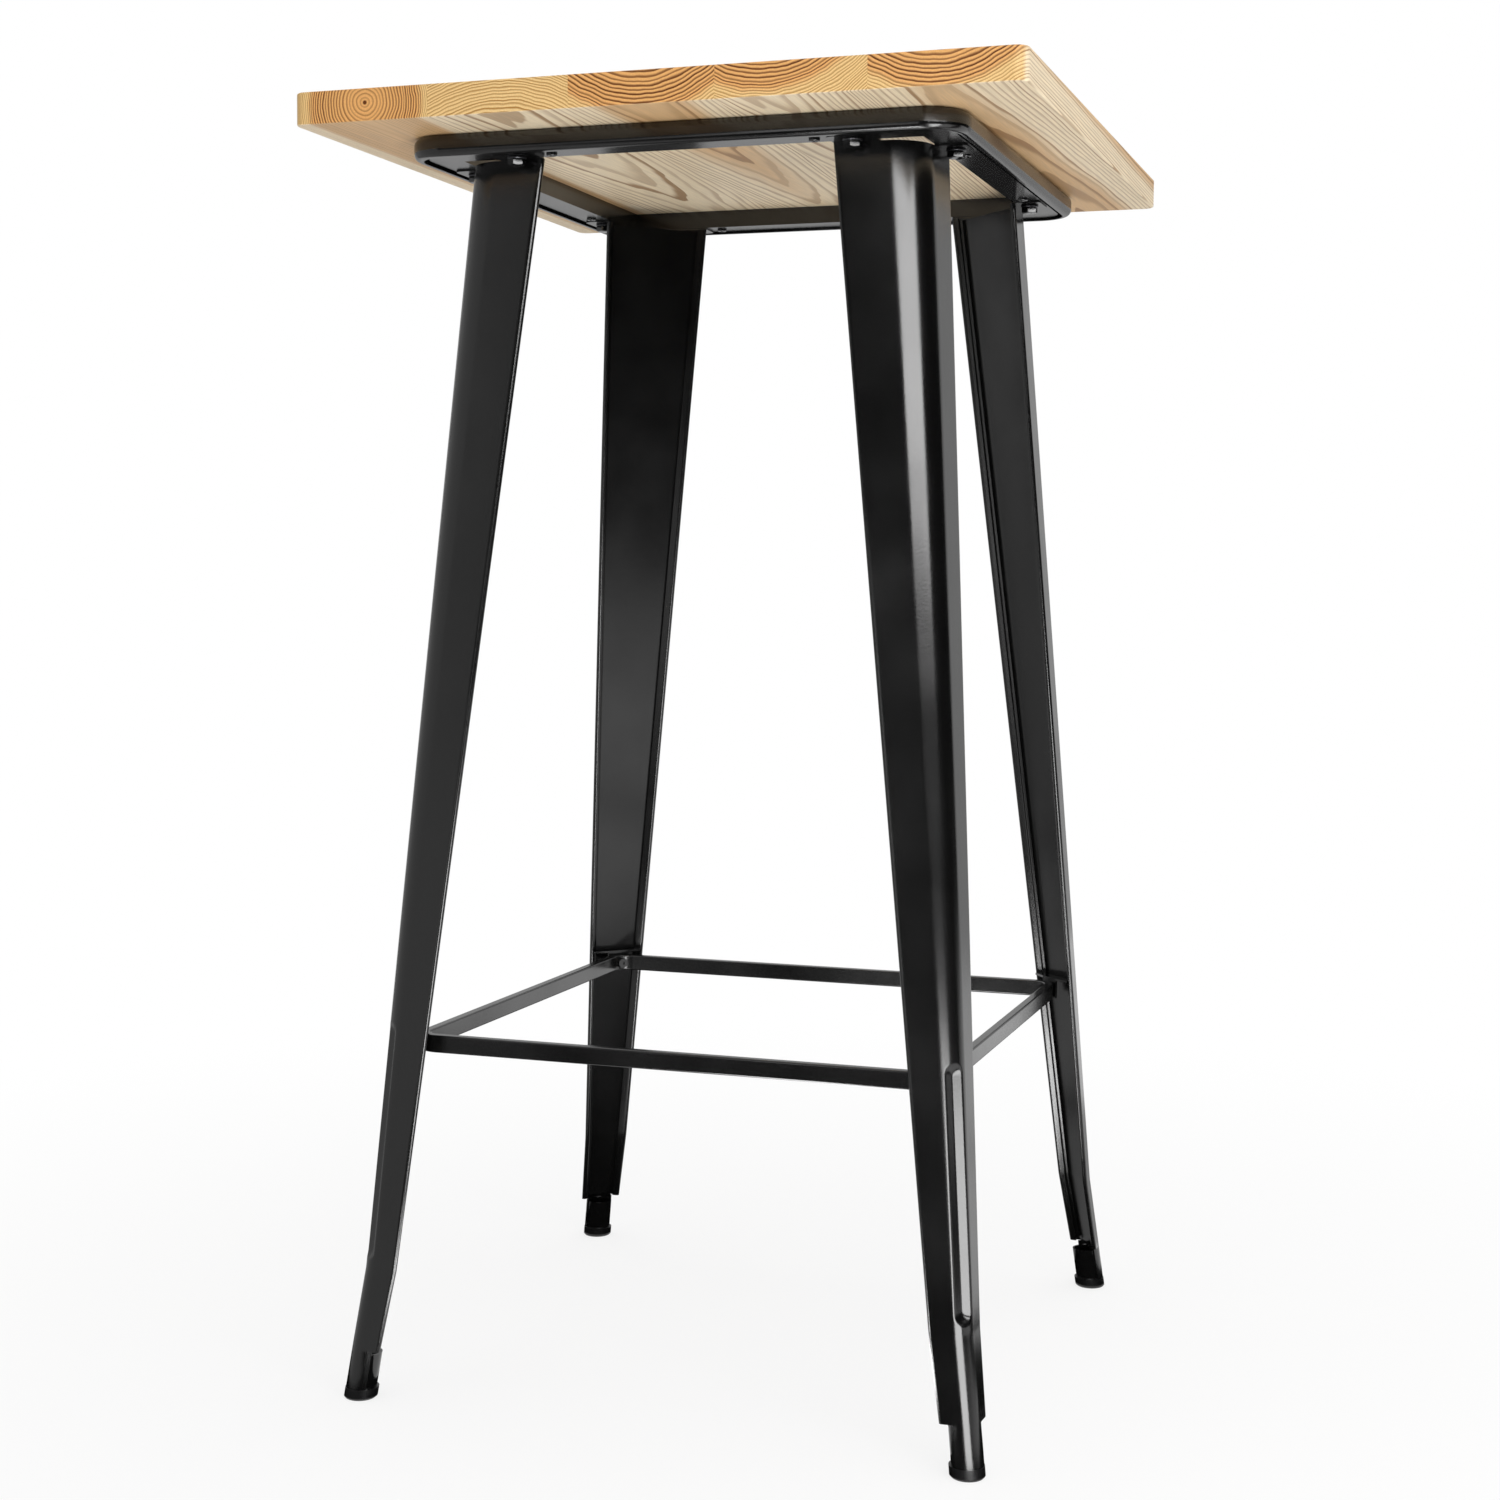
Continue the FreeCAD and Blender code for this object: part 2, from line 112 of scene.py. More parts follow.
class TableWood(bpy.types.PropertyGroup):
    """Growth rings and colours of the five glued staves"""
    pith_across: per_stave(
        "Pith across", "Distance of the pith from the table's middle plane",
        (-0.235, -0.120, 0.0, 0.099, 0.232))
    pith_height: per_stave(
        "Pith height", "Height of the pith above the floor at the front edge",
        (1.0682, 0.946, 1.150, 1.163, 1.152))
    pith_climb: per_stave(
        "Pith climb", "Lean of the pith along the stave", (0.012, -0.022, 0.020, 0.017, -0.015), "ROTATION")
    ring_spacing: per_stave(
        "Ring spacing", "Growth of one year, 0.1 m from the pith", (0.0008, 0.0036, 0.0026, 0.0026, 0.0026))
    heart_radius: per_stave(
        "Heartwood radius", "Radius at which the heartwood ends", (0.050, 0.060, 0.104, 0.105, 0.099))
    waver: length("Waver", "How far a growth ring strays from round", 0.0014)
    end_sap: colour("End grain, sapwood", "Early wood of the sapwood across the grain", paint(222, 188, 130))
    end_sap_line: colour(
        "End grain, sapwood ring", "Late wood of the sapwood across the grain", paint(160, 115, 55))
    end_heart: colour(
        "End grain, heartwood", "Early wood of the heartwood across the grain", paint(216, 161, 97))
    end_heart_line: colour(
        "End grain, heartwood ring", "Late wood of the heartwood across the grain", paint(92, 45, 7))
    long_sap: colour("Long grain, sapwood", "Early wood along the grain", paint(233, 215, 184))
    long_heart: colour("Long grain, heartwood", "Heartwood along the grain", paint(209, 172, 126))
    long_line: colour("Long grain, ring", "Late wood along the grain", paint(146, 105, 64))


class TableSteel(bpy.types.PropertyGroup):
    """Powder coat, plastic and fastener finishes"""
    coat: colour("Powder coat", "Black of the frame, legs and footrest", paint(10, 10, 10))
    coat_roughness: share("Powder coat roughness", "Softness of the coat's reflections", 0.20)
    foot_roughness: share("Foot roughness", "Softness of the reflections on the foot tubes", 0.10)
    peel_size: length("Orange peel", "Distance between the waves of the coat's skin", 0.0016)
    plastic: colour("Glide plastic", "Black of the cups on the floor", paint(11, 11, 12))
    zinc: colour("Washer zinc", "Zinc of the washers and nuts", paint(86, 86, 89))
    black_lacquer: colour("Bolt lacquer", "Black lacquer of the bolts and screws", paint(12, 12, 12))


class TableLegs(bpy.types.PropertyGroup):
    """Sizes of the pressed legs, which stand where the frame has them"""
    top: length("Leg top", "Height of the leg's top edge", 1.0365)
    knee: length("Knee height", "Height at which the leg bends outwards", 0.110)
    side_end: length("Side end", "Height of the lower end of the sides", 0.042)
    wrap_end: length("Strip end", "Height of the lower end of the strip round the foot", 0.009)
    corner_top: length(
        "Corner at the top", "Sharp corner's distance from the middle planes at the top", 0.1965)
    corner_knee: length(
        "Corner at the knee", "Sharp corner's distance from the middle planes at the knee", 0.2625)
    foot_spread: length("Foot spread", "Foot's distance from the middle planes on the floor", 0.263)
    width_top: length("Width at the top", "Width of a side at the top", 0.0725)
    width_foot: length("Width at the foot", "Width of a side at its lower end", 0.0295)
    round_top: length("Corner radius at the top", "Outer radius of the corner at the top", 0.032)
    round_foot: length("Corner radius at the foot", "Outer radius of the corner at the foot", 0.0138)
    sheet: length("Sheet", "Thickness of the sheet", 0.0015)
    hem: length("Hem radius", "Outer radius of the rolled free edges", 0.0025)
    hem_return: length("Hem return", "Width of the sheet turned back inside the hem", 0.004)
    groove_low: length("Groove bottom", "Lower end of the pressed groove", 0.1175)
    groove_high: length("Groove top", "Upper end of the pressed groove", 0.317)
    groove_depth: length("Groove depth", "Depth of the groove below the corner's crest", 0.0044)
    groove_width: length("Groove width", "Width of the groove between its rims", 0.0155)
    groove_end: length("Groove end", "Length of the groove's round ends", 0.0098)
    groove_ease: length("Groove rounding", "Rounding of the groove's rims", 0.0011)
    ear_start: length("Ear start", "Ear's distance from the sharp corner, along the side", 0.034)
    ear_outer: length("Ear outer edge", "Ear's distance from the middle plane", 0.223)
    ear_round: length("Ear corner radius", "Radius of the ear's outer corners", 0.006)
    lean: rotation("Side lean", "How much each side opens from square", math.radians(3.0))
    wrap: rotation("Strip half angle", "Half of the angle that the foot strip covers", math.radians(84.0))


class TableFasteners(bpy.types.PropertyGroup):
    """Sizes of the visible bolts and screws, which stand where the frame has them"""
    bolt_along: length("Bolt along", "Bolt's distance from the middle plane, along its rail", 0.14325)
    bolt_across: length("Bolt across", "Bolt's distance from the middle plane, across its rail", 0.2100)
    bolt_seat: length("Bolt seat", "Height of the face that the washers press on", 1.0365)
    bolt_width: length("Bolt head width", "Width of the head across its flats", 0.0130)
    bolt_head: length("Bolt head height", "Height of the hexagon head", 0.0053)
    bolt_radius: length("Bolt radius", "Radius of the thread", 0.0040)
    bolt_pitch: length("Bolt pitch", "Climb of one turn of the thread", 0.00125)
    bolt_length: length("Bolt length", "Length of the thread", 0.0136)
    washer_radius: length("Washer radius", "Outer radius of the washer", 0.0080)
    washer_thickness: length("Washer thickness", "Thickness of the washer", 0.0016)
    screw_along: length(
        "Top screw along", "Screw's distance from the middle plane, along its rail", 0.1120)
    screw_across: length(
        "Top screw across", "Screw's distance from the middle plane, across its rail", 0.2105)
    screw_seat: length("Top screw seat", "Height of the web's lower face", 1.0380)
    screw_radius: length("Top screw radius", "Radius of the thread", 0.0020)
    screw_length: length("Top screw length", "Length under the head", 0.0310)
    screw_head_radius: length("Top screw head radius", "Radius of the pan head", 0.0045)
    screw_head: length("Top screw head height", "Height of the pan head", 0.0024)


class TableStudio(bpy.types.PropertyGroup):
    """Camera, lamps, cloths and floor"""
    camera_place: FloatVectorProperty(
        name="Camera place", description="Where the lens stands", default=(0.6582, -1.9837, 0.6881),
        size=3, subtype="TRANSLATION", unit="LENGTH")
    camera_heading: rotation("Camera heading", "Turn to the left of straight ahead", 0.324)
    camera_pitch: rotation("Camera pitch", "Tilt up from level", -0.071)
    camera_roll: rotation("Camera roll", "Lean to the left", 0.008)
    camera_lens: FloatProperty(
        name="Camera lens", description="Focal length for a 36 mm wide picture", default=55.757,
        unit="CAMERA")
    key_glow: brightness("Key light", "Light of the box on the right", 2.7)
    low_glow: brightness("Low light", "Light of the strip on the floor", 11.0)
    fill_glow: brightness("Fill light", "Light of the box on the left", 0.45)
    top_glow: brightness("Top light", "Light of the box overhead", 1.6)
    sky: brightness("Room light", "Even light from all round", 0.64)
    card_glow: brightness("Tall card", "Brightness of the card on the right", 7.4)
    strip_glow: brightness("Low card", "Brightness of the sheet near the floor", 8.2)
    side_glow: brightness("Side cloths", "Brightness of the cloths on the left and under the table", 0.45)
    front_glow: brightness("Front card", "Brightness of the narrow card in front", 2.0)
    right_glow: brightness("Right cloth", "Brightness of the cloth on the right", 0.95)
    inner_glow: brightness("Inner card", "Brightness of the narrow card under the table", 12.0)
    back_glow: brightness("Back cloth", "Brightness of the cloth behind", 0.55)
    floor_colour: colour("Floor", "Pale floor", paint(240, 240, 240))
    floor_radius: length("Floor radius", "Reach of the floor", 14.0)
    shadow_share: share("Shadow", "How much of the floor's own shading shows under the table", 0.22)
    shadow_start: length("Shadow start", "Distance at which the floor starts to fade", 0.3)
    shadow_reach: length("Shadow reach", "Distance at which the floor has faded into the white", 1.6)


def feed(tree, node, inputs):
    """Fills a node's inputs, by name or by number, with sockets to link or values to set."""
    for key, value in inputs.items():
        if isinstance(value, bpy.types.NodeSocket):
            tree.links.new(value, node.inputs[key])
        else:
            node.inputs[key].default_value = value


def put(tree, kind, inputs=None, **settings):
    """Adds a node with its settings and inputs."""
    node = tree.nodes.new("ShaderNode" + kind)
    for key, value in settings.items():
        setattr(node, key, value)
    feed(tree, node, inputs or {})
    return node


def calc(tree, operation, *terms):
    """Result of a Math node."""
    return put(tree, "Math", dict(enumerate(terms)), operation=operation).outputs[0]


def vector_calc(tree, operation, *terms):
    """Vector result of a Vector Math node."""
    return put(tree, "VectorMath", dict(enumerate(terms)), operation=operation).outputs[0]


def step(tree, value, low, high):
    """Smooth step from 0 at low to 1 at high."""
    inputs = {"Value": value, "From Min": low, "From Max": high}
    return put(tree, "MapRange", inputs, interpolation_type="SMOOTHSTEP").outputs[0]


def blend(tree, factor, first, second, kind="MIX"):
    """Mix of two colours, each a socket or three values. Colours are inputs 6 and 7 of a Mix node."""
    tones = [x if isinstance(x, bpy.types.NodeSocket) else (*x, 1) for x in (first, second)]
    node = put(tree, "Mix", data_type="RGBA", blend_type=kind)
    feed(tree, node, {0: factor, 6: tones[0], 7: tones[1]})
    return node.outputs[2]


def noise(tree, point, scale=1.0, detail=2.0):
    """Noise around 0.5 at a point, with waves of 1 over the scale."""
    return put(tree, "TexNoise", {"Vector": point, "Scale": scale, "Detail": detail}).outputs[0]


def new_group(name, takes, gives):
    """Empty shader node group with its sockets. Returns the tree, the input sockets and the output node."""
    tree = bpy.data.node_groups.new(name, "ShaderNodeTree")
    for label, kind in takes:
        tree.interface.new_socket(label, in_out="INPUT", socket_type="NodeSocket" + kind)
    for label, kind in gives:
        tree.interface.new_socket(label, in_out="OUTPUT", socket_type="NodeSocket" + kind)
    inside = tree.nodes.new("NodeGroupInput")
    outside = tree.nodes.new("NodeGroupOutput")
    return tree, inside.outputs, outside


def use_group(tree, group, inputs):
    """Places a node group in a material with its own values and returns its outputs."""
    node = tree.nodes.new("ShaderNodeGroup")
    node.node_tree = group
    feed(tree, node, inputs)
    return node.outputs


def growth_rings():
    """Node group for sawn wood, at points measured from the pith with the grain along Y.

    The radius is the distance from the pith line plus a slow noise that is stretched along the grain.
    Divided by the ring spacing, it counts the years, and the rings grow narrower with the square of the
    radius. Within a year the late wood grows darker to a sharp outer edge. Its strength differs from year
    to year and is least in the young wood round the pith, which itself is a dark dot. End is 1 where the
    surface faces along the grain.
    """
    # Waves per metre across, along and across the grain
    slow_waves = (38.0, 3.5, 38.0)
    fibre_waves = (900.0, 22.0, 900.0)
    # How the years are counted
    waver_range = 4.0
    young_growth = 0.25
    narrowing = 25.0
    change_of_pace = 0.3
    uneven_years = 0.9
    # Shares of a year
    late_start = 0.32
    late_full = 0.76
    late_end = 0.94
    # Strength of the late wood, and radii in metres
    weakest_year = 0.7
    young_radius = 0.004
    grown_radius = 0.040
    young_strength = 0.5
    dot_radius = 0.0012
    dot_edge = 0.0022
    heart_fade = 0.004
    # How much of the surface's normal lies along the grain
    long_slant = 0.45
    end_slant = 0.85
    takes = (("Point", "Vector"), ("Spacing", "Float"), ("Heart Radius", "Float"), ("Waver", "Float"))
    gives = (("Line", "Float"), ("Heart", "Float"), ("Fibre", "Float"), ("End", "Float"))
    tree, given, out = new_group("growth_rings", takes, gives)
    point = given["Point"]
    parts = put(tree, "SeparateXYZ", {0: point}).outputs
    slow = noise(tree, vector_calc(tree, "MULTIPLY", point, slow_waves))
    sway = calc(tree, "MULTIPLY", given["Waver"], waver_range)
    stray = calc(tree, "MULTIPLY", calc(tree, "SUBTRACT", slow, 0.5), sway)
    squares = calc(tree, "ADD", calc(tree, "POWER", parts[0], 2.0), calc(tree, "POWER", parts[2], 2.0))
    radius = calc(tree, "ADD", calc(tree, "SQRT", squares), stray)
    pace = calc(tree, "MULTIPLY_ADD", calc(tree, "POWER", radius, 2.0), narrowing, young_growth)
    years = calc(tree, "MULTIPLY", calc(tree, "DIVIDE", radius, given["Spacing"]), pace)
    uneven = put(tree, "TexNoise", {"W": calc(tree, "MULTIPLY", years, change_of_pace), "Scale": 1.0},
                 noise_dimensions="1D").outputs[0]
    years = calc(tree, "ADD", years, calc(tree, "MULTIPLY", uneven, uneven_years))
    season = calc(tree, "FRACT", years)
    late = calc(tree, "MULTIPLY", step(tree, season, late_start, late_full),
                step(tree, season, 1.0, late_end))
    luck = put(tree, "TexWhiteNoise", {"W": calc(tree, "FLOOR", years)}, noise_dimensions="1D").outputs[0]
    strength = calc(tree, "MULTIPLY_ADD", luck, 1 - weakest_year, weakest_year)
    late = calc(tree, "MULTIPLY", late, strength)
    age = step(tree, radius, young_radius, grown_radius)
    age = calc(tree, "MULTIPLY_ADD", age, 1 - young_strength, young_strength)
    dot = step(tree, radius, dot_edge, dot_radius)
    late = calc(tree, "MAXIMUM", calc(tree, "MULTIPLY", late, age), dot)
    edge = calc(tree, "SUBTRACT", given["Heart Radius"], radius)
    fibre = noise(tree, vector_calc(tree, "MULTIPLY", point, fibre_waves), detail=3.0)
    normal = put(tree, "SeparateXYZ", {0: put(tree, "TexCoord").outputs["Normal"]}).outputs[1]
    slant = calc(tree, "ABSOLUTE", normal)
    tree.links.new(late, out.inputs["Line"])
    tree.links.new(step(tree, edge, -heart_fade, heart_fade), out.inputs["Heart"])
    tree.links.new(fibre, out.inputs["Fibre"])
    tree.links.new(step(tree, slant, long_slant, end_slant), out.inputs["End"])
    return tree


def coat_skin():
    """Node group for a sprayed or moulded skin: fine waves, slow changes of gloss and a little dust.

    Waves are noise of the given size. Gloss is a much slower noise from -1 to 1. Dust is the rare tops
    of a noise finer than the waves.
    """
    gloss_scale = 14.0
    specks_per_wave = 2.5
    rare = 0.80
    rarest = 0.86
    takes = (("Point", "Vector"), ("Size", "Float"))
    gives = (("Waves", "Float"), ("Gloss", "Float"), ("Dust", "Float"))
    tree, given, out = new_group("coat_skin", takes, gives)
    point = given["Point"]
    fine = calc(tree, "DIVIDE", 1.0, given["Size"])
    waves = noise(tree, point, fine)
    slow = noise(tree, point, gloss_scale, detail=4.0)
    specks = noise(tree, point, calc(tree, "MULTIPLY", fine, specks_per_wave), detail=1.0)
    tree.links.new(waves, out.inputs["Waves"])
    tree.links.new(calc(tree, "MULTIPLY_ADD", slow, 2.0, -1.0), out.inputs["Gloss"])
    tree.links.new(step(tree, specks, rare, rarest), out.inputs["Dust"])
    return tree


def group_named(name, make):
    """Node group of that name, built on first use."""
    return bpy.data.node_groups.get(name) or make()


def new_material(name):
    """Material with a Principled shader. Returns it, its tree and the shader."""
    material = bpy.data.materials.new(name)
    material.use_nodes = True
    tree = material.node_tree
    return material, tree, tree.nodes["Principled BSDF"]


def bump(tree, shader, height, distance, strength):
    """Feeds a height, times a distance in metres, to a shader's normal."""
    node = put(tree, "Bump", {"Height": height, "Distance": distance, "Strength": strength})
    tree.links.new(node.outputs[0], shader.inputs["Normal"])


def stave_wood(wood, k):
    """Material of one stave, whose rings turn about its own pith.

    Across the grain the rings show in full. Along it they are thinner lines, and fine fibres streak both.
    """
    line_thinness = 2.5
    line_strength = 0.9
    streak_range = 0.50
    streak_least = 0.75
    rough_range = 0.25
    rough_least = 0.36
    line_depth = 0.6
    relief = 0.0002
    material, tree, shader = new_material("pale_wood_stave_%d" % (k + 1))
    pith = (wood.pith_across[k], CAD_BOX[0].y, wood.pith_height[k])
    point = put(tree, "Mapping", {
        "Vector": put(tree, "TexCoord").outputs["Object"],
        "Location": pith,
        "Rotation": (wood.pith_climb[k], 0, 0),
    }, vector_type="TEXTURE").outputs[0]
    grain = use_group(tree, group_named("growth_rings", growth_rings), {
        "Point": point, "Spacing": wood.ring_spacing[k],
        "Heart Radius": wood.heart_radius[k], "Waver": wood.waver})
    line, heart, fibre, end = (grain[x] for x in ("Line", "Heart", "Fibre", "End"))
    early = blend(tree, heart, wood.end_sap, wood.end_heart)
    late = blend(tree, heart, wood.end_sap_line, wood.end_heart_line)
    across = blend(tree, line, early, late)
    early = blend(tree, heart, wood.long_sap, wood.long_heart)
    thin = calc(tree, "MULTIPLY", calc(tree, "POWER", line, line_thinness), line_strength)
    along = blend(tree, thin, early, wood.long_line)
    tone = blend(tree, end, along, across)
    streak = calc(tree, "MULTIPLY_ADD", fibre, streak_range, streak_least)
    streaks = put(tree, "CombineColor", {0: streak, 1: streak, 2: streak}).outputs[0]
    tree.links.new(blend(tree, 1.0, tone, streaks, "MULTIPLY"), shader.inputs["Base Color"])
    rough = calc(tree, "MULTIPLY_ADD", fibre, rough_range, rough_least)
    tree.links.new(rough, shader.inputs["Roughness"])
    height = calc(tree, "SUBTRACT", fibre, calc(tree, "MULTIPLY", line, line_depth))
    bump(tree, shader, height, distance=relief, strength=0.5)
    shader.inputs["Specular IOR Level"].default_value = 0.2
    return material


def coated_steel(name, base, roughness, peel, specular):
    """Black coat or plastic: orange peel in its normals, slow changes of gloss and a little dust."""
    dust_strength = 0.10
    gloss_range = 0.10
    peel_relief = 0.00012
    material, tree, shader = new_material(name)
    skin = use_group(tree, group_named("coat_skin", coat_skin), {
        "Point": put(tree, "TexCoord").outputs["Object"], "Size": peel})
    dust = calc(tree, "MULTIPLY", skin["Dust"], dust_strength)
    tree.links.new(blend(tree, dust, base, DUST_TONE), shader.inputs["Base Color"])
    rough = calc(tree, "MULTIPLY_ADD", skin["Gloss"], gloss_range, roughness)
    tree.links.new(rough, shader.inputs["Roughness"])
    bump(tree, shader, skin["Waves"], distance=peel_relief, strength=0.35)
    shader.inputs["Specular IOR Level"].default_value = specular
    return material


def plated_steel(name, base, roughness):
    """Zinc plate: metal with a faint mottle in its colour and gloss."""
    mottle_size = 0.0007
    mottle_strength = 0.5
    dark_share = 0.5
    gloss_range = 0.3
    material, tree, shader = new_material(name)
    skin = use_group(tree, group_named("coat_skin", coat_skin), {
        "Point": put(tree, "TexCoord").outputs["Object"], "Size": mottle_size})
    mottle = calc(tree, "MULTIPLY", skin["Waves"], mottle_strength)
    darker = tuple(x * dark_share for x in base)
    tree.links.new(blend(tree, mottle, base, darker), shader.inputs["Base Color"])
    rough = calc(tree, "MULTIPLY_ADD", skin["Waves"], gloss_range, roughness)
    tree.links.new(rough, shader.inputs["Roughness"])
    shader.inputs["Metallic"].default_value = 1.0
    return material


def dress(names, material):
    """Gives CAD nodes a material."""
    for name in names:
        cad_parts[name].material_slots[0].material = material


def shell(rings):
    """Points and faces of closed turned shapes from rings of shape (copies, rows, columns, 3).

    The first and the last row of each copy are shrunk to a single pole, so that the shell is closed.
    Between rows run quads, and round each pole a fan of triangles.
    """
    copies, rows, columns = rings.shape[:3]
    poles = rings[:, [0, -1]].mean(axis=2)
    body = rings[:, 1:-1].reshape(copies, -1, 3)
    points = np.concatenate([poles[:, :1], body, poles[:, 1:]], axis=1)
    count = points.shape[1]
    ring = 1 + np.arange(rows - 2)[:, None] * columns
    near = ring + np.arange(columns)
    far = ring + np.roll(np.arange(columns), -1)
    quads = np.stack([near[:-1], far[:-1], far[1:], near[1:]], axis=-1).reshape(-1, 4)
    first = np.stack([np.zeros(columns, int), far[0], near[0]], axis=-1)
    last = np.stack([np.full(columns, count - 1), near[-1], far[-1]], axis=-1)
    shift = np.arange(copies)[:, None, None] * count
    faces = (quads + shift).reshape(-1, 4).tolist()
    for fan in (first, last):
        faces += (fan + shift).reshape(-1, 3).tolist()
    return points.reshape(-1, 3), faces


def new_piece(name, points, faces, material):
    """Mesh object of a worked out surface, smooth apart from its sharp edges."""
    mesh = bpy.data.meshes.new(name)
    mesh.from_pydata(points, [], faces)
    mesh.materials.append(material)
    mesh.shade_smooth()
    mesh.set_sharp_from_angle(angle=SHARP_EDGE)
    mesh.validate()
    piece = bpy.data.objects.new(name, mesh)
    bpy.context.scene.collection.objects.link(piece)
    return piece


def stand_at(rings, places):
    """Copies of upright rings of shape (rows, columns, 3) at places of shape (copies, 3)."""
    return rings[None] + places[:, None, None]


def rail_places(along, across, height):
    """Two places on each of the four rails, at a height.

    They lie to both sides of the rail's middle, across from the table's middle, turned by quarters.
    """
    side = np.array((-1.0, 1.0))[None, :] * along
    turn = QUARTER_TURNS[:, None]
    x = np.cos(turn) * side - np.sin(turn) * across
    y = np.sin(turn) * side + np.cos(turn) * across
    return np.stack([x, y, np.full_like(x, height)], axis=-1).reshape(-1, 3)


def thread_rows(angles, radius, pitch, low, high, depth, rows):
    """Radius and height of a thread: a triangle wave that climbs one pitch each turn."""
    height = np.linspace(low, high, rows)[:, None] + 0 * angles
    turn = height / pitch - angles / (2 * math.pi)
    wave = np.abs((turn % 1) * 2 - 1)
    return radius - depth * wave, height


def hexagon_bolt(width, head, radius, pitch, reach):
    """Rings of a bolt whose head hangs below its seat at height 0.

    The head's radius at an angle is half its width over the cosine of the angle from the nearest flat's
    middle. A cone of 30 degrees cuts its lower corners, so their height rises with the radius there.
    """
    columns = 72
    thread_points = 60
    thread_depth = 0.55 * pitch
    face_share = 0.93
    chamfer = math.radians(30)
    angles = np.linspace(0, 2 * math.pi, columns, endpoint=False)
    from_flat = (angles + math.pi / 6) % (math.pi / 3) - math.pi / 6
    flat = width / 2 / np.cos(from_flat)
    inner = np.full_like(angles, width / 2 * face_share)
    level = np.zeros_like(angles)
    cut = (flat - inner) * math.tan(chamfer)
    shank, climb = thread_rows(angles, radius, pitch, 0.0, reach, thread_depth, thread_points)
    radii = np.stack([level, inner, flat, flat, level + radius, *shank, level])
    heights = np.stack([level - head, level - head, cut - head, level, level, *climb, level + reach])
    return np.stack([radii * np.cos(angles), radii * np.sin(angles), heights], axis=-1)


def washer_rings(outer, inner, thickness):
    """Rings of a washer under height 0: a flat profile with eased outer edges, carried round a circle."""
    columns = 64
    ease = thickness * 0.3
    radius = np.array((inner, outer - ease, outer, outer, outer - ease, inner))
    height = np.array((0, 0, ease, thickness - ease, thickness, thickness)) - thickness
    angles = np.linspace(0, 2 * math.pi, columns, endpoint=False)
    x = radius[:, None] * np.cos(angles)
    y = radius[:, None] * np.sin(angles)
    return np.stack([x, y, np.broadcast_to(height[:, None], x.shape)], axis=-1)


def ring_faces(copies, rows, columns):
    """Quads of closed ring shapes: the grid wraps both round the circle and round the profile."""
    i = np.arange(rows)[:, None]
    j = np.arange(columns)[None, :]
    here = i * columns + j
    right = i * columns + (j + 1) % columns
    up = (i + 1) % rows * columns + j
    both = (i + 1) % rows * columns + (j + 1) % columns
    quads = np.stack([here, right, both, up], axis=-1).reshape(-1, 4)
    shift = np.arange(copies)[:, None, None] * rows * columns
    return (quads + shift).reshape(-1, 4).tolist()


def pan_screw(head_radius, head, radius, reach):
    """Rings of a wood screw whose pan head hangs below its seat at height 0.

    The head is a low dome: its height falls with the root of 1 less the fourth power of the share of the
    radius, down to the height of its rim. A cross of two slots is pressed into it, with sloping sides and
    ends. The shank is a thread that tapers at its tip.
    """
    columns = 64
    head_points = 26
    thread_points = 90
    pole = 0.02
    rim = 0.45
    fullness = 0.97
    slot_edge = 0.19
    slot_slope = 0.05
    slot_end = 0.62
    slot_end_slope = 0.12
    slot_depth = 0.62 * head
    pitch = 0.9 * radius
    thread_depth = 0.28 * radius
    tip = 0.16 * reach
    tip_share = 0.08
    angles = np.linspace(0, 2 * math.pi, columns, endpoint=False)
    share_out = np.linspace(pole, 1.0, head_points)[:, None]
    arm = np.minimum(np.abs(share_out * np.cos(angles)), np.abs(share_out * np.sin(angles)))
    across = np.clip((slot_edge - arm) / slot_slope, 0, 1)
    along = np.clip((slot_end - share_out) / slot_end_slope, 0, 1)
    dome = -head * (rim + (1 - rim) * np.sqrt(1 - fullness * share_out ** 4)) + across * along * slot_depth
    level = np.zeros_like(angles)
    shank, climb = thread_rows(angles, radius, pitch, 0.0, reach, thread_depth, thread_points)
    taper = np.clip((reach - climb) / tip, tip_share, 1)
    radii = np.concatenate([[level], share_out * head_radius + level, [level + head_radius, level + radius],
                            shank * taper, [level]])
    heights = np.concatenate([[dome[0]], dome, [level, level], climb, [level + reach]])
    return np.stack([radii * np.cos(angles), radii * np.sin(angles), heights], axis=-1)


def loops(rings):
    """Points and arrays of faces of a closed sheet from rings of shape (rows, columns, 3).

    The first half of each ring is one face of the sheet and the second half runs back along the other,
    so that the ends close with quads between opposite points.
    """
    rows, columns = rings.shape[:2]
    here = np.arange(rows - 1)[:, None] * columns + np.arange(columns)
    right = np.arange(rows - 1)[:, None] * columns + np.roll(np.arange(columns), -1)
    body = np.stack([here, here + columns, right + columns, right], axis=-1).reshape(-1, 4)
    near = np.arange(columns // 2 - 1)
    far = columns - 1 - near
    low = np.stack([near, near + 1, far - 1, far], axis=-1)
    high = low[:, ::-1] + (rows - 1) * columns
    return rings.reshape(-1, 3), [np.concatenate([body, low, high])]


def thick_strip(outer, thickness):
    """Closed rings from lines of shape (rows, points, 3): each level line and its copy one thickness in.

    The copy lies along the level normal, which is the line's direction turned by a quarter.
    """
    run = np.gradient(outer[..., :2], axis=1)
    run /= np.linalg.norm(run, axis=-1, keepdims=True)
    inner = outer.copy()
    inner[..., 0] += run[..., 1] * thickness
    inner[..., 1] -= run[..., 0] * thickness
    return np.concatenate([outer, inner[:, ::-1]], axis=1)


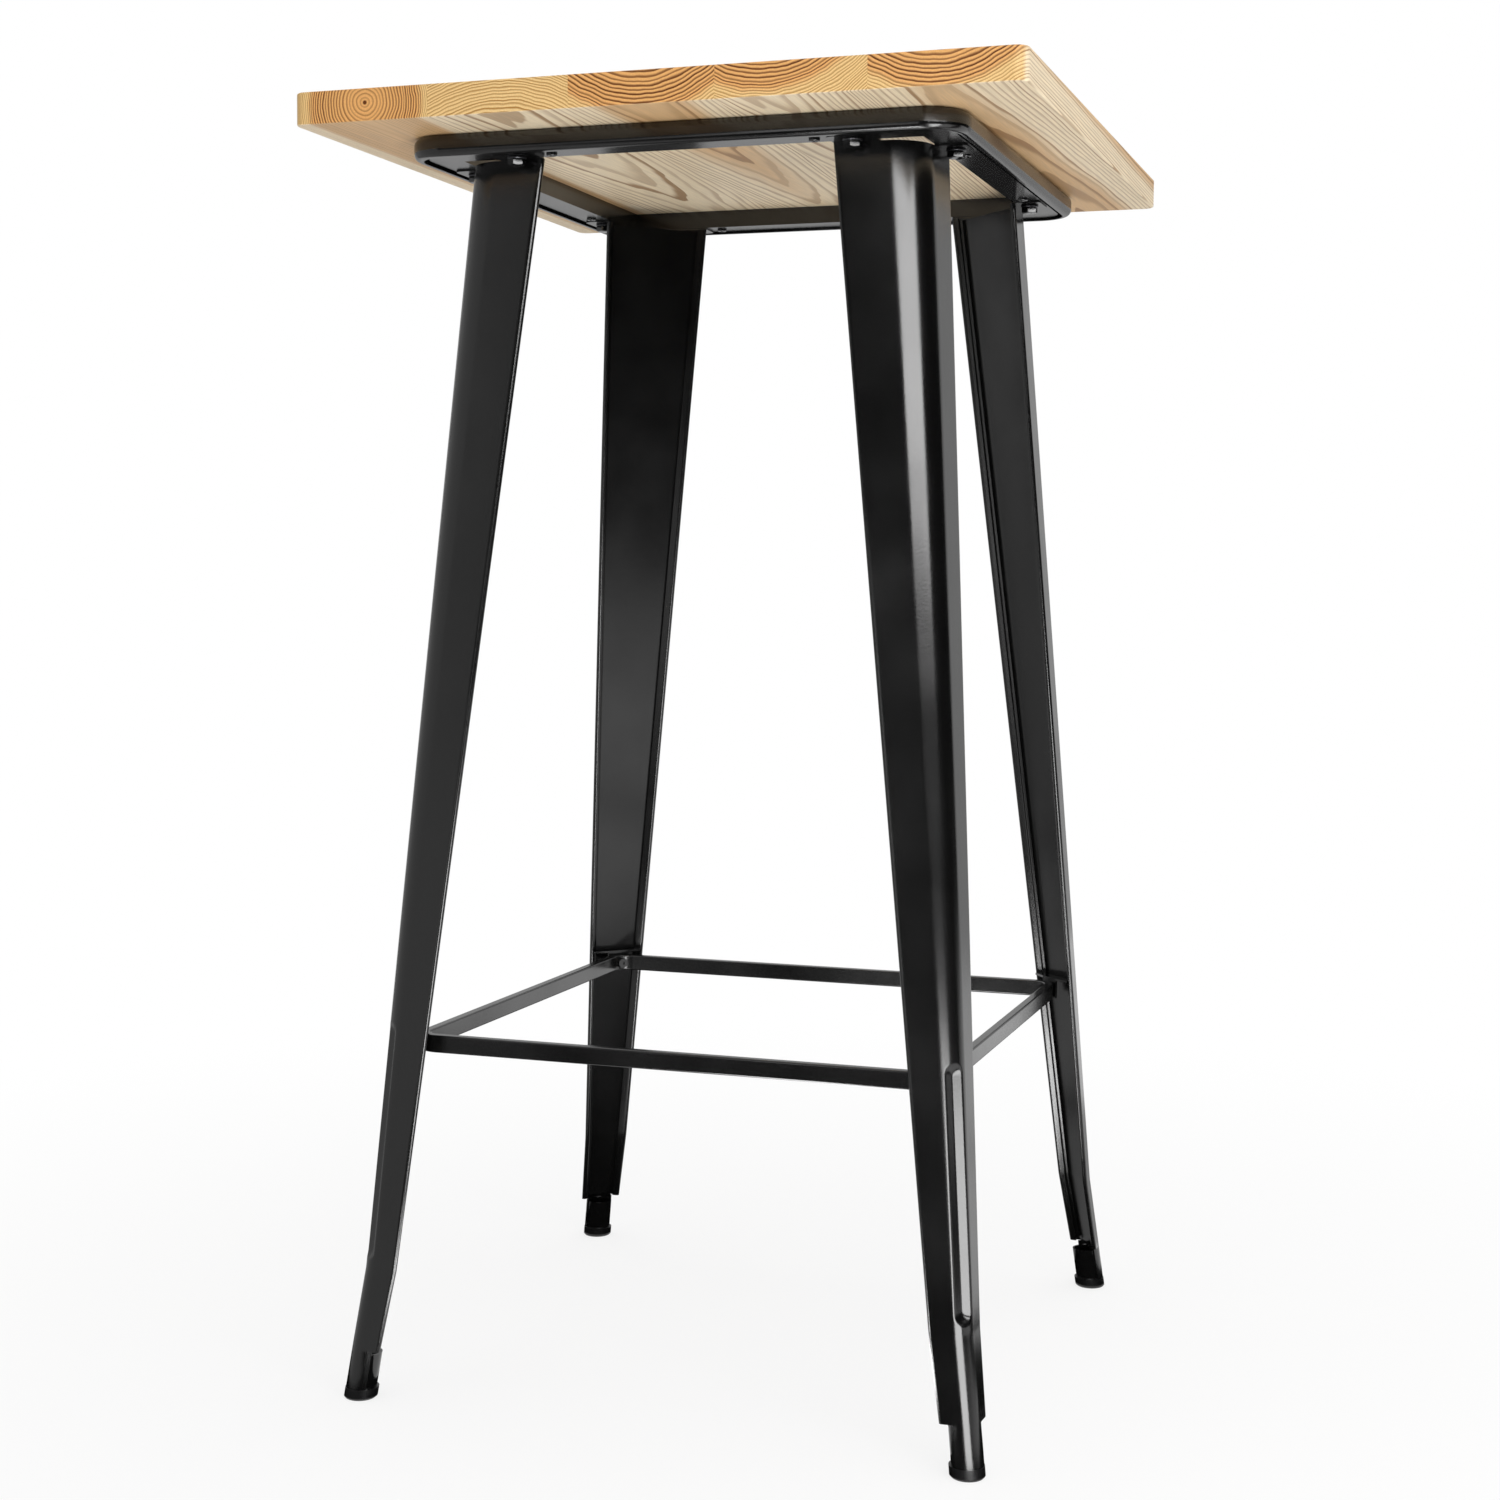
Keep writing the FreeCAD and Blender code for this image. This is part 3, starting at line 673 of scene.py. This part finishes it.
def corner_shares(legs):
    """Bend and centre of a corner of radius 1, and the sharp corner's distance out on the floor.

    The bend is the way from the sharp corner to the start of the round, along a side. The centre is how
    far the round's centre lies inside the sharp corner, along each axis.
    """
    bend = math.tan(math.pi / 4 - legs.lean)
    centre = bend * math.cos(legs.lean) + math.sin(legs.lean)
    return bend, centre, legs.foot_spread + legs.round_foot * centre


def leg_lines(legs, heights):
    """Outer lines of the back right leg at heights, of shape (rows, points, 3).

    From the tip of one hem, each line runs round the hem, along the side, round the corner and back the
    same way mirrored. Corner distance, side width and corner radius change evenly with the height, and
    the corner moves out faster below the knee. The pressed groove is a vee that takes over where it lies
    under the round corner, with a rounded rim from a smooth minimum of the two. It rises from its deepest
    line with the distance to the side, and at both ends with the square of the way past its straight part.
    """
    return_points = 4
    hem_points = 13
    side_points = 16
    corner_points = 81
    keel_round = 0.0001
    z = heights[:, None]
    bend_share, centre_share, floor_corner = corner_shares(legs)
    corner = np.interp(z, (0, legs.knee, legs.top), (floor_corner, legs.corner_knee, legs.corner_top))
    width = np.interp(z, (legs.side_end, legs.top), (legs.width_foot, legs.width_top))
    radius = np.interp(z, (legs.side_end, legs.top), (legs.round_foot, legs.round_top))
    turn = np.linspace(math.pi / 2, -math.pi / 2, hem_points)
    back = np.linspace(-legs.hem_return, 0, return_points)[:-1]
    flat = np.linspace(0, 1, side_points)[1:]
    edge = width - legs.hem
    straight = edge * (1 - flat) + radius * bend_share * flat
    along = np.concatenate([edge + back, edge + legs.hem * np.cos(turn), straight], axis=1)
    inset = np.concatenate([
        0 * back + 2 * legs.hem, legs.hem + legs.hem * np.sin(turn), 0 * flat]) + 0 * z
    x = corner - along * math.cos(legs.lean) - inset * math.sin(legs.lean)
    y = corner + along * math.sin(legs.lean) - inset * math.cos(legs.lean)
    half_turn = math.pi / 4 - legs.lean
    swing = np.linspace(half_turn, -half_turn, corner_points)[1:-1]
    middle = (corner - radius * centre_share) * math.sqrt(2)
    crest = radius * np.cos(swing)
    aside = radius * np.sin(swing)
    span = legs.groove_width / 2
    slope = (legs.groove_depth - radius + np.sqrt(radius ** 2 - span ** 2)) / span
    half_length = (legs.groove_high - legs.groove_low) / 2
    past = np.abs(z - (legs.groove_low + legs.groove_high) / 2) - half_length + legs.groove_end
    climb = legs.groove_depth * (np.maximum(past, 0) / legs.groove_end) ** 2
    vee = radius - legs.groove_depth + np.sqrt((slope * aside) ** 2 + climb ** 2 + keel_round ** 2)
    blend_zone = np.maximum(legs.groove_ease - np.abs(crest - vee), 0) / legs.groove_ease
    pressed = np.minimum(crest, vee) - blend_zone ** 2 * legs.groove_ease / 4
    out = (middle + pressed) / math.sqrt(2)
    corner_x = out - aside / math.sqrt(2)
    corner_y = out + aside / math.sqrt(2)
    line_x = np.concatenate([x, corner_x, y[:, ::-1]], axis=1)
    line_y = np.concatenate([y, corner_y, x[:, ::-1]], axis=1)
    return np.stack([line_x, line_y, np.broadcast_to(z, line_x.shape)], axis=-1)


def strip_lines(legs, heights):
    """Outer lines of the strip round the foot of the back right leg: arcs about the leaning foot's axis."""
    arc_points = 49
    z = heights[:, None]
    centre_share, floor_corner = corner_shares(legs)[1:]
    axis = np.interp(z, (0, legs.knee), (floor_corner, legs.corner_knee)) - legs.round_foot * centre_share
    angle = math.pi / 4 + np.linspace(legs.wrap, -legs.wrap, arc_points)
    x = axis + legs.round_foot * np.cos(angle)
    y = axis + legs.round_foot * np.sin(angle)
    return np.stack([x, y, np.broadcast_to(z, x.shape)], axis=-1)


def ear_plate(legs):
    """Points and arrays of faces of an ear: a level plate with two round corners, from the side outwards."""
    round_points = 9
    along = np.array((legs.ear_start, legs.width_top))
    inner_x = legs.corner_top - along * math.cos(legs.lean) - legs.sheet * math.sin(legs.lean)
    inner_y = legs.corner_top + along * math.sin(legs.lean) - legs.sheet * math.cos(legs.lean)
    quarter = np.linspace(0, math.pi / 2, round_points)
    right = np.stack([inner_x[0] - legs.ear_round + legs.ear_round * np.cos(quarter),
                      legs.ear_outer - legs.ear_round + legs.ear_round * np.sin(quarter)], axis=-1)
    left = np.stack([inner_x[1] + legs.ear_round - legs.ear_round * np.sin(quarter),
                     legs.ear_outer - legs.ear_round + legs.ear_round * np.cos(quarter)], axis=-1)
    inner = np.stack([inner_x, inner_y], axis=-1)
    outline = np.concatenate([inner[:1], right, left, inner[1:]])
    count = len(outline)
    level = np.full((count, 1), legs.top)
    points = np.concatenate([np.hstack([outline, level]), np.hstack([outline, level + legs.sheet])])
    here = np.arange(count)
    after = np.roll(here, -1)
    rim = np.stack([here, after, after + count, here + count], axis=-1)
    return points, [rim, np.stack([here[::-1], here + count])]


def joined(shells):
    """One array of points and one list of faces for several closed shells, whose faces are arrays."""
    points, faces, count = [], [], 0
    for own, groups in shells:
        points.append(own)
        for group in groups:
            faces += (group + count).tolist()
        count += len(own)
    return np.concatenate(points), faces


def leg_shells(legs):
    """Points and faces of the back right leg: sheet, foot strip and the two ears.

    The rows of the sheet lie closer together beside the groove.
    """
    rows_below = 34
    rows_beside = 160
    rows_above = 40
    strip_rows = 12
    margin = 0.004
    low = legs.groove_low - margin
    high = legs.groove_high + margin
    heights = np.concatenate([
        np.linspace(legs.side_end, low, rows_below),
        np.linspace(low, high, rows_beside)[1:],
        np.linspace(high, legs.top, rows_above)[1:]])
    foot_heights = np.linspace(legs.wrap_end, legs.side_end, strip_rows)
    sheet = loops(thick_strip(leg_lines(legs, heights), legs.sheet))
    strip = loops(thick_strip(strip_lines(legs, foot_heights), legs.sheet))
    points, faces = ear_plate(legs)
    mirrored = points[:, (1, 0, 2)], [group[:, ::-1] for group in faces]
    return joined([sheet, strip, (points, faces), mirrored])


def lamp(name, place, aim, size, glow):
    """Area lamp that shines from a place to an aim. Its power is radiance times pi times its area."""
    light = bpy.data.lights.new(name, "AREA")
    light.shape = "RECTANGLE"
    light.size, light.size_y = size
    light.energy = glow * math.pi * size[0] * size[1]
    item = bpy.data.objects.new(name, light)
    item.location = place
    item.rotation_euler = (Vector(aim) - Vector(place)).to_track_quat("-Z", "Y").to_euler()
    item.visible_camera = False
    bpy.context.scene.collection.objects.link(item)
    return item


def reflected(name, points, faces, glow):
    """Evenly bright sheet that only reflections see."""
    material, tree = new_material(name)[:2]
    bright = put(tree, "Emission", {"Strength": glow})
    tree.links.new(bright.outputs[0], tree.nodes["Material Output"].inputs["Surface"])
    sheet = new_piece(name, points, faces, material)
    sheet.visible_camera = sheet.visible_diffuse = sheet.visible_shadow = False
    return sheet


def card_sheet(place, aim, size):
    """Flat card of a given size at a place, facing its aim."""
    axes = (Vector(aim) - Vector(place)).to_track_quat("-Z", "Y").to_matrix()
    corners = np.array(((-1, -1, 0), (1, -1, 0), (1, 1, 0), (-1, 1, 0))) * (*size, 0) / 2
    return corners @ np.array(axes).T + place, [[0, 1, 2, 3]]


def curtain_sheet(profile, start, end, centre=(0, 0)):
    """Cloth: a profile of radius and height carried along part of a circle about a centre.

    Start and end are in degrees from +X towards +Y.
    """
    columns = 72
    angles = np.radians(np.linspace(start, end, columns))
    radius, height = np.array(profile).T[:, :, None]
    x = centre[0] + radius * np.cos(angles)
    y = centre[1] + radius * np.sin(angles)
    points = np.stack([x, y, height + 0 * angles], axis=-1)
    here = np.arange(len(profile) - 1)[:, None] * columns + np.arange(columns - 1)
    across = here + columns
    faces = np.stack([here, across, across + 1, here + 1], axis=-1).reshape(-1, 4)
    return points.reshape(-1, 3), faces.tolist()


def floor_disc(radius):
    """Round floor: a polar grid whose rings grow apart with the square of their share."""
    rings = 40
    spokes = 96
    share_out = np.linspace(0, 1, rings)[:, None] ** 2
    angles = np.linspace(0, 2 * math.pi, spokes, endpoint=False)[None, :]
    x = radius * share_out * np.cos(angles)
    y = radius * share_out * np.sin(angles)
    grid = np.stack([x, y, 0 * x], axis=-1)
    points = np.concatenate([grid[:1, :1].reshape(-1, 3), grid[1:].reshape(-1, 3)])
    ring = 1 + np.arange(rings - 1)[:, None] * spokes
    near = ring + np.arange(spokes)
    far = ring + np.roll(np.arange(spokes), -1)
    quads = np.stack([near[:-1], near[1:], far[1:], far[:-1]], axis=-1).reshape(-1, 4).tolist()
    fan = np.stack([np.zeros(spokes, int), near[0], far[0]], axis=-1).tolist()
    return points, quads + fan


def seen_plainly(tree):
    """1 where the eye, a reflection or a look through glass meets the surface, and 0 for plain light."""
    path = put(tree, "LightPath").outputs
    eye = calc(tree, "MAXIMUM", path["Is Camera Ray"], path["Is Glossy Ray"])
    return calc(tree, "MAXIMUM", eye, path["Is Transmission Ray"])


def floor_paint(studio):
    """Pale floor that fades into the white round it and keeps the table's shadow near the feet."""
    material, tree, shader = new_material("studio_floor")
    shader.inputs["Base Color"].default_value = (*studio.floor_colour, 1)
    shader.inputs["Roughness"].default_value = 0.9
    shader.inputs["Specular IOR Level"].default_value = 0.0
    white = put(tree, "Emission", {"Strength": 1.0})
    point = put(tree, "TexCoord").outputs["Object"]
    away = put(tree, "VectorMath", {0: point}, operation="LENGTH").outputs["Value"]
    faded = step(tree, away, studio.shadow_start, studio.shadow_reach)
    kept = calc(tree, "MULTIPLY_ADD", faded, studio.shadow_share, 1 - studio.shadow_share)
    factor = calc(tree, "MULTIPLY", kept, seen_plainly(tree))
    mix = put(tree, "MixShader", {0: factor, 1: shader.outputs[0], 2: white.outputs[0]})
    tree.links.new(mix.outputs[0], tree.nodes["Material Output"].inputs["Surface"])
    return material


def white_world(studio):
    """White all round for the eye and for reflections, and an even room light for the rest."""
    world = bpy.data.worlds.new("studio_room")
    world.use_nodes = True
    tree = world.node_tree
    back = tree.nodes["Background"]
    back.inputs["Color"].default_value = (1, 1, 1, 1)
    strength = put(tree, "MapRange", {"Value": seen_plainly(tree), "To Min": studio.sky, "To Max": 1.0})
    tree.links.new(strength.outputs[0], back.inputs["Strength"])
    bpy.context.scene.world = world


def camera_turn(studio):
    """Camera axes: ahead by heading and pitch, then right and up, rolled about the line of sight."""
    turn, tilt, roll = studio.camera_heading, studio.camera_pitch, studio.camera_roll
    ahead = Vector((-math.sin(turn) * math.cos(tilt), math.cos(turn) * math.cos(tilt), math.sin(tilt)))
    right = Vector((math.cos(turn), math.sin(turn), 0))
    up = right.cross(ahead)
    side = math.cos(roll) * right + math.sin(roll) * up
    top = -math.sin(roll) * right + math.cos(roll) * up
    return Matrix((side, top, -ahead)).transposed()


class TABLE_OT_wood_top(bpy.types.Operator):
    """Give each glued stave its own sawn wood"""
    bl_idname = "pub_table.wood_top"
    bl_label = "Wood top"

    def execute(self, context):
        for k, name in enumerate(STAVES):
            dress([name], stave_wood(context.scene.table_wood, k))
        return {"FINISHED"}


class TABLE_OT_steel(bpy.types.Operator):
    """Powder coat the frame, the inner plates, the gussets and the footrest"""
    bl_idname = "pub_table.steel"
    bl_label = "Coated steel"

    def execute(self, context):
        steel = context.scene.table_steel
        coat = coated_steel(
            "black_powder_coat", steel.coat, steel.coat_roughness, steel.peel_size, specular=0.8)
        names = [piece + s for piece in ("frame_rim_", "frame_rail_") for s in SIDES]
        names += [piece + c for piece in ("leg_inner_plate_", "footrest_gusset_") for c in CORNERS]
        dress(names + ["footrest_ring"], coat)
        return {"FINISHED"}


class TABLE_OT_legs(bpy.types.Operator):
    """Press the four legs with their hems, ears, grooves and foot strips"""
    bl_idname = "pub_table.legs"
    bl_label = "Legs"

    def execute(self, context):
        points, faces = leg_shells(context.scene.table_legs)
        coat = bpy.data.materials["black_powder_coat"]
        x, y, z = points.T
        for corner, turn in zip(CORNERS, QUARTER_TURNS):
            cos, sin = round(math.cos(turn)), round(math.sin(turn))
            spun = np.stack([cos * x - sin * y, sin * x + cos * y, z], axis=-1)
            piece = new_piece("pressed_leg_" + corner, spun, faces, coat)
            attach(piece, "root")
            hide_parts("leg_" + corner)
        return {"FINISHED"}


class TABLE_OT_feet(bpy.types.Operator):
    """Finish the foot tubes and the plastic cups"""
    bl_idname = "pub_table.feet"
    bl_label = "Feet"

    def execute(self, context):
        steel = context.scene.table_steel
        tube = coated_steel(
            "black_foot_tube", steel.coat, steel.foot_roughness, steel.peel_size, specular=0.9)
        cup = coated_steel(
            "black_glide_plastic", steel.plastic, roughness=0.38, peel=0.0009, specular=0.5)
        dress(["foot_tube_" + c for c in CORNERS], tube)
        dress(["foot_glide_" + c for c in CORNERS], cup)
        return {"FINISHED"}


class TABLE_OT_fasteners(bpy.types.Operator):
    """Make the bolts, washers and top screws, and plate the nuts"""
    bl_idname = "pub_table.fasteners"
    bl_label = "Fasteners"

    def execute(self, context):
        sizes = context.scene.table_fasteners
        steel = context.scene.table_steel
        washer_hole = 1.05 * sizes.bolt_radius
        bright = plated_steel("dark_zinc", steel.zinc, roughness=0.12)
        black = coated_steel(
            "black_lacquer", steel.black_lacquer, roughness=0.10, peel=0.0009, specular=0.9)
        dress(["leg_bolt_nuts", "footrest_nuts"], bright)
        dress(["footrest_screws"], black)
        places = rail_places(sizes.bolt_along, sizes.bolt_across, sizes.bolt_seat - sizes.washer_thickness)
        bolt = hexagon_bolt(
            sizes.bolt_width, sizes.bolt_head, sizes.bolt_radius, sizes.bolt_pitch, sizes.bolt_length)
        self.add("hexagon_bolts", *shell(stand_at(bolt, places)), black, "leg_bolts")
        washer = washer_rings(sizes.washer_radius, washer_hole, sizes.washer_thickness)
        seats = rail_places(sizes.bolt_along, sizes.bolt_across, sizes.bolt_seat)
        points = stand_at(washer, seats).reshape(-1, 3)
        faces = ring_faces(len(seats), *washer.shape[:2])
        self.add("bolt_washers", points, faces, bright, "leg_bolt_washers")
        screw = pan_screw(sizes.screw_head_radius, sizes.screw_head, sizes.screw_radius, sizes.screw_length)
        places = rail_places(sizes.screw_along, sizes.screw_across, sizes.screw_seat)
        self.add("pan_head_screws", *shell(stand_at(screw, places)), black, "top_screws")
        return {"FINISHED"}

    def add(self, name, points, faces, material, node):
        """One group of like fasteners in place of a CAD node."""
        piece = new_piece(name, points, faces, material)
        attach(piece, "root")
        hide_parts(node)


class TABLE_OT_studio(bpy.types.Operator):
    """Set up the floor, the room, the lamps and the camera"""
    bl_idname = "pub_table.studio"
    bl_label = "Studio"

    def execute(self, context):
        scene = context.scene
        studio = scene.table_studio
        floor = new_piece("studio_floor", *floor_disc(studio.floor_radius), floor_paint(studio))
        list(self.hang_sheets(studio))
        white_world(studio)
        self.set_lamps(studio)
        self.set_camera(scene, studio)
        scene.view_settings.view_transform = "Standard"
        return {"FINISHED"}

    def hang_sheets(self, studio):
        """Cloths and cards for the black coat to reflect.

        A profile lists radius and height from the middle outwards. Each row gives the sheet's name, its
        profile, its first and last angle, the centre of its circle and its brightness, which is 0 for black.
        """
        room = ((0.33, 0.002), (5.4, 0.002), (5.9, 0.15), (6.0, 0.5), (6.0, 6.0))
        back_wall = ((3.0, 0.002), (5.4, 0.002), (6.0, 0.5), (6.0, 2.5))
        left_wall = ((0.45, 0.004), (1.9, 0.004), (2.15, 0.10), (2.2, 0.35), (2.2, 2.3))
        low_wall = ((2.15, 0.05), (2.2, 0.3), (2.2, 0.6))
        front_wall = ((2.2, 0.05), (2.2, 1.0))
        low_step = ((0.05, 0.006), (0.88, 0.006), (0.92, 0.05), (0.92, 0.32))
        middle_floor = ((0.02, 0.002), (0.27, 0.002))
        inner_floor = ((0.27, 0.003), (0.45, 0.003))
        back_floor = ((0.45, 0.003), (1.2, 0.003))
        right_floor = ((0.45, 0.003), (2.5, 0.003))
        leg_floor = ((0.29, 0.005), (1.0, 0.005))
        middle = (0, 0)
        front_right_leg = (0.27, -0.27)
        back_right_hem = (0.20, 0.265)
        rows = (
            ("dark_cloth", room, -208, 15, middle, 0.0),
            ("dark_wall", room[1:], 15, 50, middle, 0.0),
            ("back_cloth", back_wall, 50, 152, middle, studio.back_glow),
            ("left_cloth", left_wall, -200, -120, middle, studio.side_glow),
            ("middle_cloth", middle_floor, -20, 180, middle, 0.0),
            ("middle_cloth_right", inner_floor, -20, 55, middle, 0.0),
            ("middle_cloth_left", inner_floor, 118, 180, middle, 0.0),
            ("inner_cloth", inner_floor, 55, 118, middle, studio.side_glow),
            ("floor_cloth", back_floor, 55, 152, middle, studio.side_glow),
            ("right_cloth", right_floor, -34, -2, middle, studio.right_glow),
            ("low_cloth", low_wall, -120, -105, middle, studio.side_glow),
            ("front_card", front_wall, -105, -99.5, middle, studio.front_glow),
            ("inner_card", leg_floor, -112, -102, back_right_hem, studio.inner_glow),
            ("low_card", low_step, -78, -38, front_right_leg, studio.strip_glow),
        )
        sheets = [
            reflected(name, *curtain_sheet(profile, start, end, centre), glow)
            for name, profile, start, end, centre, glow in rows]
        tall = card_sheet(place=(1.404, -2.052, 1.70), aim=(0.1, -0.1, 0.87), size=(2.59, 1.02))
        return [*sheets, reflected("tall_card", *tall, studio.card_glow)]

    def set_lamps(self, studio):
        """Soft boxes: three beside the table, which reflections don't see, and one overhead."""
        middle = (0, 0, 0.7)
        boxes = (
            lamp("key_box", place=(1.50, -1.98, 1.68), aim=(0.1, -0.1, 0.85), size=(2.35, 1.05),
                 glow=studio.key_glow),
            lamp("low_box", place=(1.05, -1.25, 0.15), aim=(0.25, -0.25, 0.15), size=(1.0, 0.28),
                 glow=studio.low_glow),
            lamp("fill_box", place=(-1.65, -2.1, 1.2), aim=middle, size=(1.3, 2.0), glow=studio.fill_glow),
        )
        for box in boxes:
            box.visible_glossy = False
        lamp("top_box", place=(0.3, 0.2, 3.2), aim=middle, size=(2.4, 2.4), glow=studio.top_glow)

    def set_camera(self, scene, studio):
        """Camera at the photo's place, with its lens for a picture as wide as full frame film."""
        lens = bpy.data.cameras.new("photo_camera")
        lens.lens = studio.camera_lens
        lens.sensor_width = 36
        camera = bpy.data.objects.new("photo_camera", lens)
        camera.matrix_world = Matrix.Translation(studio.camera_place) @ camera_turn(studio).to_4x4()
        scene.collection.objects.link(camera)
        scene.camera = camera


OPERATORS = (
    TABLE_OT_wood_top, TABLE_OT_steel, TABLE_OT_legs, TABLE_OT_feet, TABLE_OT_fasteners, TABLE_OT_studio)
GROUPS = {
    "table_wood": TableWood,
    "table_steel": TableSteel,
    "table_legs": TableLegs,
    "table_fasteners": TableFasteners,
    "table_studio": TableStudio,
}


class TABLE_PT_looks(bpy.types.Panel):
    """Pieces and finishes of the table"""
    bl_label = "Pub table"
    bl_space_type = "VIEW_3D"
    bl_region_type = "UI"
    bl_category = "Pub table"

    def draw(self, context):
        for operator in OPERATORS:
            self.layout.operator(operator.bl_idname)
        for label in GROUPS:
            box = self.layout.box()
            group = getattr(context.scene, label)
            for prop in group.bl_rna.properties:
                if not prop.is_readonly and prop.identifier != "name":
                    box.prop(group, prop.identifier)


def register():
    for label, group in GROUPS.items():
        bpy.utils.register_class(group)
        setattr(bpy.types.Scene, label, PointerProperty(type=group))
    for kind in (*OPERATORS, TABLE_PT_looks):
        bpy.utils.register_class(kind)


def unregister():
    for kind in (TABLE_PT_looks, *reversed(OPERATORS)):
        bpy.utils.unregister_class(kind)
    for label, group in GROUPS.items():
        delattr(bpy.types.Scene, label)
        bpy.utils.unregister_class(group)


def main():
    """Register the add-on and run its operators in order."""
    register()
    for operator in OPERATORS:
        family, name = operator.bl_idname.split(".")
        getattr(getattr(bpy.ops, family), name)()


if __name__ == "__main__":
    main()
